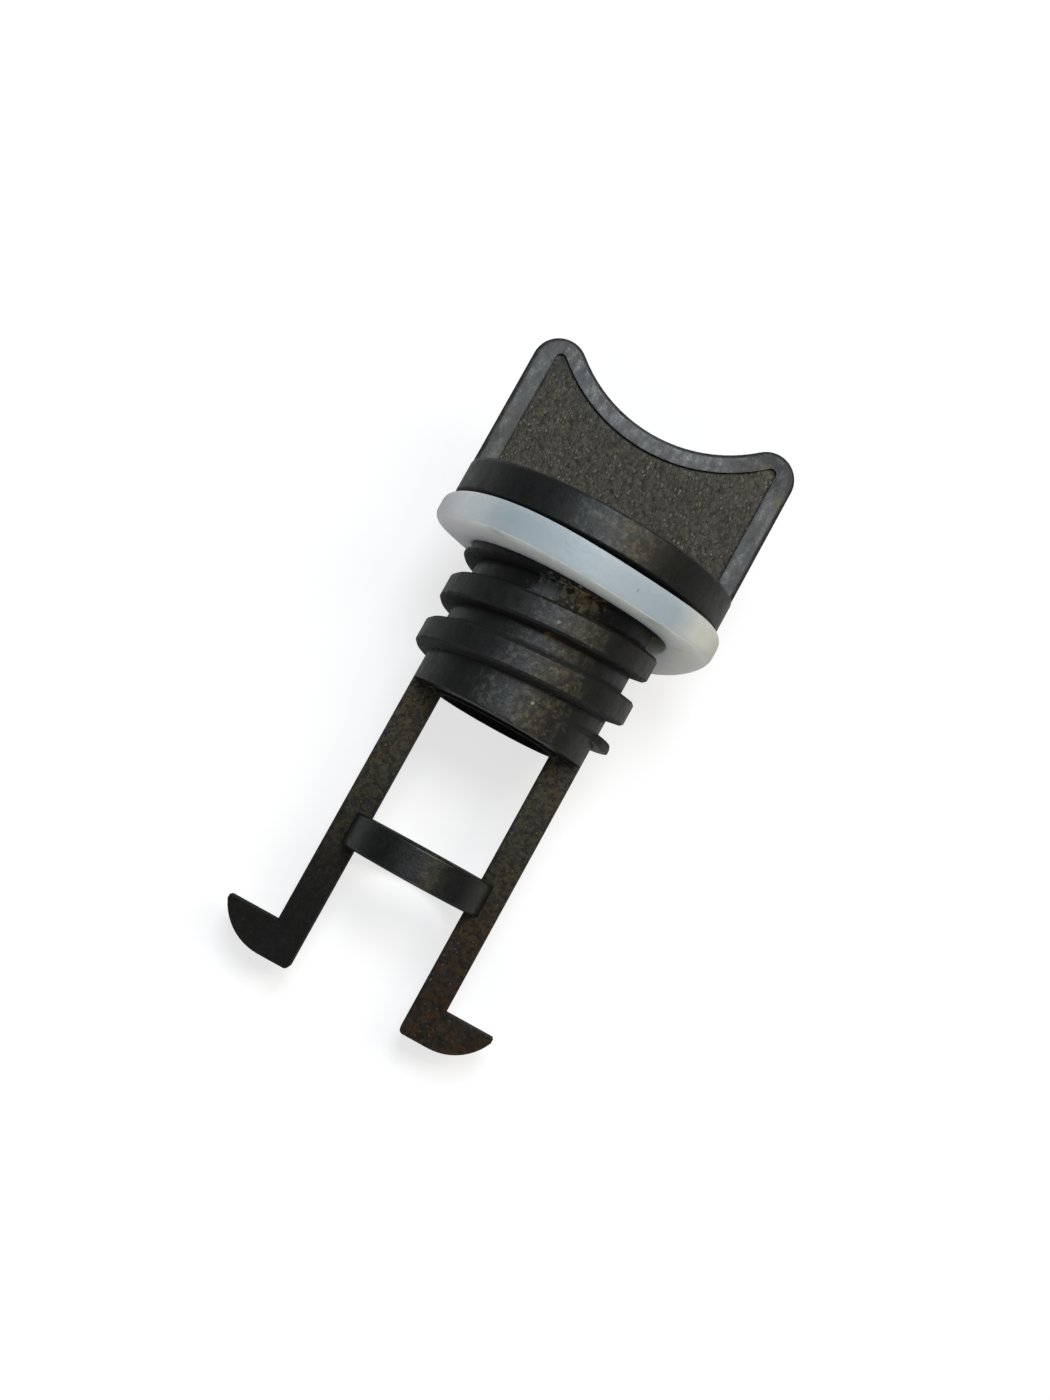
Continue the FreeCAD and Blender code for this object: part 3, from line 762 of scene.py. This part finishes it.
def makeFlashNub():
    width, height, length = flashNub["size"]
    x, y, z = flashNub["place"]
    points = []
    for ring in range(flashNub["rings"]):
        around = math.pi * (ring + 0.5) / flashNub["rings"]
        for step in range(flashNub["steps"]):
            angle = math.tau * step / flashNub["steps"]
            ragged = 1 + flashNub["ragged"] * math.sin(flashNub["lobes"] * angle + ring)
            points.append(onPlug(x + width * math.sin(around) * math.cos(angle) * ragged,
                                 y - height * math.cos(around),
                                 z + length * math.sin(around) * math.sin(angle) * ragged))
    faces = tubeFaces(flashNub["rings"], flashNub["steps"])
    makePiece("flash_nub", points, faces, plugPlastic)


makeThreadStart()
makeFlashNub()
print("plug finished")


# Milky washer: a soft ring that hangs a little bent under the flange
washer = {
    "outer": 15.785,
    "inner": 11.12,
    "thick": 2.99,
    "frontRound": 0.14,
    "endRound": 1.0,                          # larger where the ring is seen end on
    "endPower": 5,                            # how narrow the rounder stretches at both ends are
    "innerRound": 0.2,
    "shift": (0.12, -0.04),
    "drop": 1.32,
    "tiltAcross": -0.027,
    "tiltBack": -0.043,
    "sag": (0.404, -0.456, 0.333, 0.084),     # how the ring bends: cos 2a, sin 2a, cos 3a, sin 3a
    "sagRadius": 15.0,
    "dish": 0.30,                             # the hole's front left edge hangs this much lower
    "dishAngle": 225.0,
    "stepsRound": 192,
    "stepsCorner": 6,
    "stepsFlat": 6,
}
# The rubber's colours hold painted light and shade: paler at the ends and the back and brighter on the
# downward faces, as if lit through from behind, and darker in the middle of the front
rubber = {
    "milk": (0.37, 0.43, 0.47, 1),
    "backlitPale": (0.74, 0.77, 0.77, 1),
    "cream": (0.76, 0.74, 0.63, 1),
    "under": (0.74, 0.79, 0.75, 1),
    "underLeft": (0.90, 0.93, 0.91, 1),
    "underRight": (0.95, 0.93, 0.83, 1),
    "slate": (0.40, 0.46, 0.48, 1),
    "stain": (0.33, 0.24, 0.12, 1),
    "pit": (0.08, 0.08, 0.09, 1),
    "crystal": (0.9, 0.92, 0.92, 1),
}
rubberSpots = [
    # colour, centre and stretch in mm, size in mm, raggedness, strength
    # painted shade: darker patches at the front of the lower face, where the dark plug lies behind
    ("slate", (-8.6, -12.4, -3.9), (1.3, 1.0, 1.5), 1.2, 0.3, 0.55),
    ("slate", (9.3, -12.0, -4.3), (1.5, 1.5, 1.5), 1.5, 0.3, 0.5),
    ("stain", (11.2, -7.2, -4.5), (0.5, 1.2, 1.5), 0.6, 1.0, 0.5),
    ("stain", (12.2, -3.0, -4.5), (0.8, 2.0, 1.5), 0.7, 1.2, 0.28),
    ("pit", (5.85, -14.7, -2.67), (0.7, 1.0, 1.3), 0.2, 0.1, 0.6),
]
rubberRamps = {
    "leftEnd": (-8.0, -14.0),
    "rightEnd": (9.5, 14.5),
    "back": (-4.0, 6.0),
    "under": (0.55, 0.9),                     # how squarely a face looks down the plug
}
rubberNoises = {
    "cloud": (0.5, 3.0, 0.5),
    "dimples": (1.2, 4.0, 0.6),
}
rubberFinish = {
    "grain": {"Scale": 1.8, "Specks": 0.4},
    "strayReach": 2.0,
    "frostShare": 0.3,
    "roughness": 0.36,
    "cloudRoughness": 0.16,
    "dimpleDepth": 0.04,
    "grainDepth": 0.05,
    "scatter": (1.0, 1.0, 0.85),              # how far red, green and blue travel inside
    "scatterDepth": 5.0,                      # mm
}


# Closed outline of the ring's section as (radius, level) pairs, level 0 at the top
def washerProfile(angle):
    end = abs(math.cos(angle)) ** washer["endPower"]
    outerRound = washer["frontRound"] + (washer["endRound"] - washer["frontRound"]) * end
    innerRound, deep = washer["innerRound"], washer["thick"]
    outer, inner = washer["outer"] - outerRound, washer["inner"] + innerRound
    corners = [(outer, -outerRound, outerRound, 90), (outer, outerRound - deep, outerRound, 0),
               (inner, innerRound - deep, innerRound, -90), (inner, -innerRound, innerRound, -180)]
    parts = washer["stepsCorner"]
    arcs = []
    for radius, level, corner, first in corners:
        turns = [math.radians(first - 90 * part / parts) for part in range(parts + 1)]
        arcs.append([(radius + corner * math.cos(turn), level + corner * math.sin(turn)) for turn in turns])
    outline = []
    for arc, following in zip(arcs, arcs[1:] + arcs[:1]):
        outline += arc
        start, stop = arc[-1], following[0]
        for part in range(1, washer["stepsFlat"]):
            share = part / washer["stepsFlat"]
            outline.append(tuple(a + (b - a) * share for a, b in zip(start, stop)))
    return outline


# Level of the ring's upper face at a place on it, in the plug's mm
def washerSag(radius, angle):
    twoCos, twoSin, threeCos, threeSin = washer["sag"]
    share = radius / washer["sagRadius"]
    level = washer["tiltAcross"] * radius * math.cos(angle) + washer["tiltBack"] * radius * math.sin(angle)
    level += share ** 2 * (twoCos * math.cos(2 * angle) + twoSin * math.sin(2 * angle))
    level += share ** 3 * (threeCos * math.cos(3 * angle) + threeSin * math.sin(3 * angle))
    inwards = (washer["outer"] - radius) / (washer["outer"] - washer["inner"])
    level -= washer["dish"] * inwards * (1 + math.cos(angle - math.radians(washer["dishAngle"]))) / 2
    return level - washer["drop"]


def makeRubber():
    material, tree, shader = startMaterial("milkyRubber")
    spot = useGroup(tree, plugPlace)
    place = spot["Place"]
    cloud = noise(tree, place, *rubberNoises["cloud"])
    grain = useGroup(tree, mouldGrain, {"Place": place, **rubberFinish["grain"]})
    along = calc(tree, "ADD", spot["X"], wander(tree, cloud, rubberFinish["strayReach"]))
    leftEnd = soften(tree, along, *rubberRamps["leftEnd"])
    rightEnd = soften(tree, along, *rubberRamps["rightEnd"])
    back = soften(tree, spot["Y"], *rubberRamps["back"])
    normal = addNode(tree, "ShaderNodeTexCoord").outputs["Normal"]
    facesDown = soften(tree, vectorCalc(tree, "DOT_PRODUCT", normal, -plugUp), *rubberRamps["under"])
    # painted light and shade of light through the rubber: paler ends and back, brighter downward faces
    wall = mixColor(tree, calc(tree, "MAXIMUM", leftEnd, back), rubber["milk"], rubber["backlitPale"])
    wall = mixColor(tree, rightEnd, wall, rubber["cream"])
    under = mixColor(tree, leftEnd, rubber["under"], rubber["underLeft"])
    under = mixColor(tree, rightEnd, under, rubber["underRight"])
    color = mixColor(tree, facesDown, wall, under)
    frosted = allOf(tree, leftEnd, grain["Speck"], rubberFinish["frostShare"])
    color = mixColor(tree, frosted, color, rubber["crystal"])
    color = addSpots(tree, place, color, rubberSpots, rubber)
    tree.links.new(color, shader.inputs["Base Color"])
    cloudRough = calc(tree, "MULTIPLY", cloud, rubberFinish["cloudRoughness"])
    tree.links.new(calc(tree, "ADD", cloudRough, rubberFinish["roughness"]), shader.inputs["Roughness"])
    dimples = noise(tree, place, *rubberNoises["dimples"])
    dimples = calc(tree, "MULTIPLY", dimples, rubberFinish["dimpleDepth"])
    grainHeight = allOf(tree, leftEnd, grain["Height"], rubberFinish["grainDepth"])
    addBump(tree, shader, calc(tree, "ADD", dimples, grainHeight))
    shader.inputs["Subsurface Weight"].default_value = 1.0
    shader.inputs["Subsurface Radius"].default_value = rubberFinish["scatter"]
    shader.inputs["Subsurface Scale"].default_value = rubberFinish["scatterDepth"] * mm
    return material


def makeWasher():
    shiftX, shiftY = washer["shift"]
    points = []
    for step in range(washer["stepsRound"]):
        angle = math.tau * step / washer["stepsRound"]
        outline = washerProfile(angle)
        for radius, level in outline:
            x = radius * math.cos(angle) + shiftX
            y = radius * math.sin(angle) + shiftY
            point = onPlug(x, y, level + washerSag(radius, angle))
            point.z = max(point.z, 0.0)       # flat spot where it rests on the floor
            points.append(point)
    faces = bridgeRings(washer["stepsRound"], len(outline), True)
    softWasher = makePiece("soft_washer", points, faces, makeRubber())
    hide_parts("sealing_washer")


makeWasher()
print("washer finished")


# Pale floor that keeps the shadow, and a soft studio round it
studio = {
    "floorHalf": 4.0,
    "floorPaint": 0.34,
    "floorGlow": 0.70,                        # white that only the camera sees on the floor
    "glossShare": 0.35,                       # how much of it shows in reflections
    "sky": 0.14,                              # light from all sides on the object
}
lamps = [
    # name, colour, radiance in W/m2/sr, seat in metres, width and length in metres
    ("coolSoftbox", (0.86, 0.94, 1.0), 12.5, (-0.02, 0.14, 0.62), 0.20, 0.30),
    ("warmSoftbox", (1.0, 0.92, 0.78), 7.0, (0.24, 0.13, 0.57), 0.18, 0.30),
    ("hookSideFill", (1.0, 1.0, 1.0), 2.4, (0.05, -0.55, 0.27), 0.40, 0.30),
]


def makeFloor():
    half = studio["floorHalf"]
    mesh = bpy.data.meshes.new("floor")
    corners = [(-half, -half, 0), (half, -half, 0), (half, half, 0), (-half, half, 0)]
    mesh.from_pydata(corners, [], [(0, 1, 2, 3)])
    floor = bpy.data.objects.new("floor", mesh)
    bpy.context.scene.collection.objects.link(floor)
    material, tree, shader = startMaterial("floorPaper")
    paint = studio["floorPaint"]
    shader.inputs["Base Color"].default_value = (paint, paint, paint, 1)
    shader.inputs["Roughness"].default_value = 1.0
    shader.inputs["Specular IOR Level"].default_value = 0.0
    shader.inputs["Emission Color"].default_value = (1, 1, 1, 1)
    rays = addNode(tree, "ShaderNodeLightPath").outputs
    seen = calc(tree, "MAXIMUM", rays["Is Camera Ray"], rays["Is Transmission Ray"])
    seen = calc(tree, "MAXIMUM", seen, calc(tree, "MULTIPLY", rays["Is Glossy Ray"], studio["glossShare"]))
    tree.links.new(calc(tree, "MULTIPLY", seen, studio["floorGlow"]), shader.inputs["Emission Strength"])
    mesh.materials.append(material)


def makeWorld():
    world = bpy.data.worlds.new("studioWorld")
    world.use_nodes = True
    bpy.context.scene.world = world
    tree = world.node_tree
    tree.nodes.clear()
    rays = addNode(tree, "ShaderNodeLightPath").outputs
    shown = calc(tree, "MAXIMUM", rays["Is Camera Ray"], rays["Is Transmission Ray"])
    strength = mixValue(tree, shown, studio["sky"], 1.0)
    background = addNode(tree, "ShaderNodeBackground", {"Color": (1, 1, 1, 1), "Strength": strength})
    output = addNode(tree, "ShaderNodeOutputWorld")
    tree.links.new(background.outputs[0], output.inputs["Surface"])


def makeLamp(name, color, radiance, seat, width, length):
    data = bpy.data.lights.new(name, "AREA")
    data.shape = "RECTANGLE"
    data.size = width
    data.size_y = length
    data.color = color
    data.energy = radiance * math.pi * width * length
    lamp = bpy.data.objects.new(name, data)
    bpy.context.scene.collection.objects.link(lamp)
    lamp.location = seat
    lamp.rotation_euler = (-Vector(seat)).to_track_quat("-Z", "Y").to_euler()


makeFloor()
makeWorld()
for lamp in lamps:
    makeLamp(*lamp)
bpy.context.scene.view_settings.view_transform = "Standard"
print("studio lit")
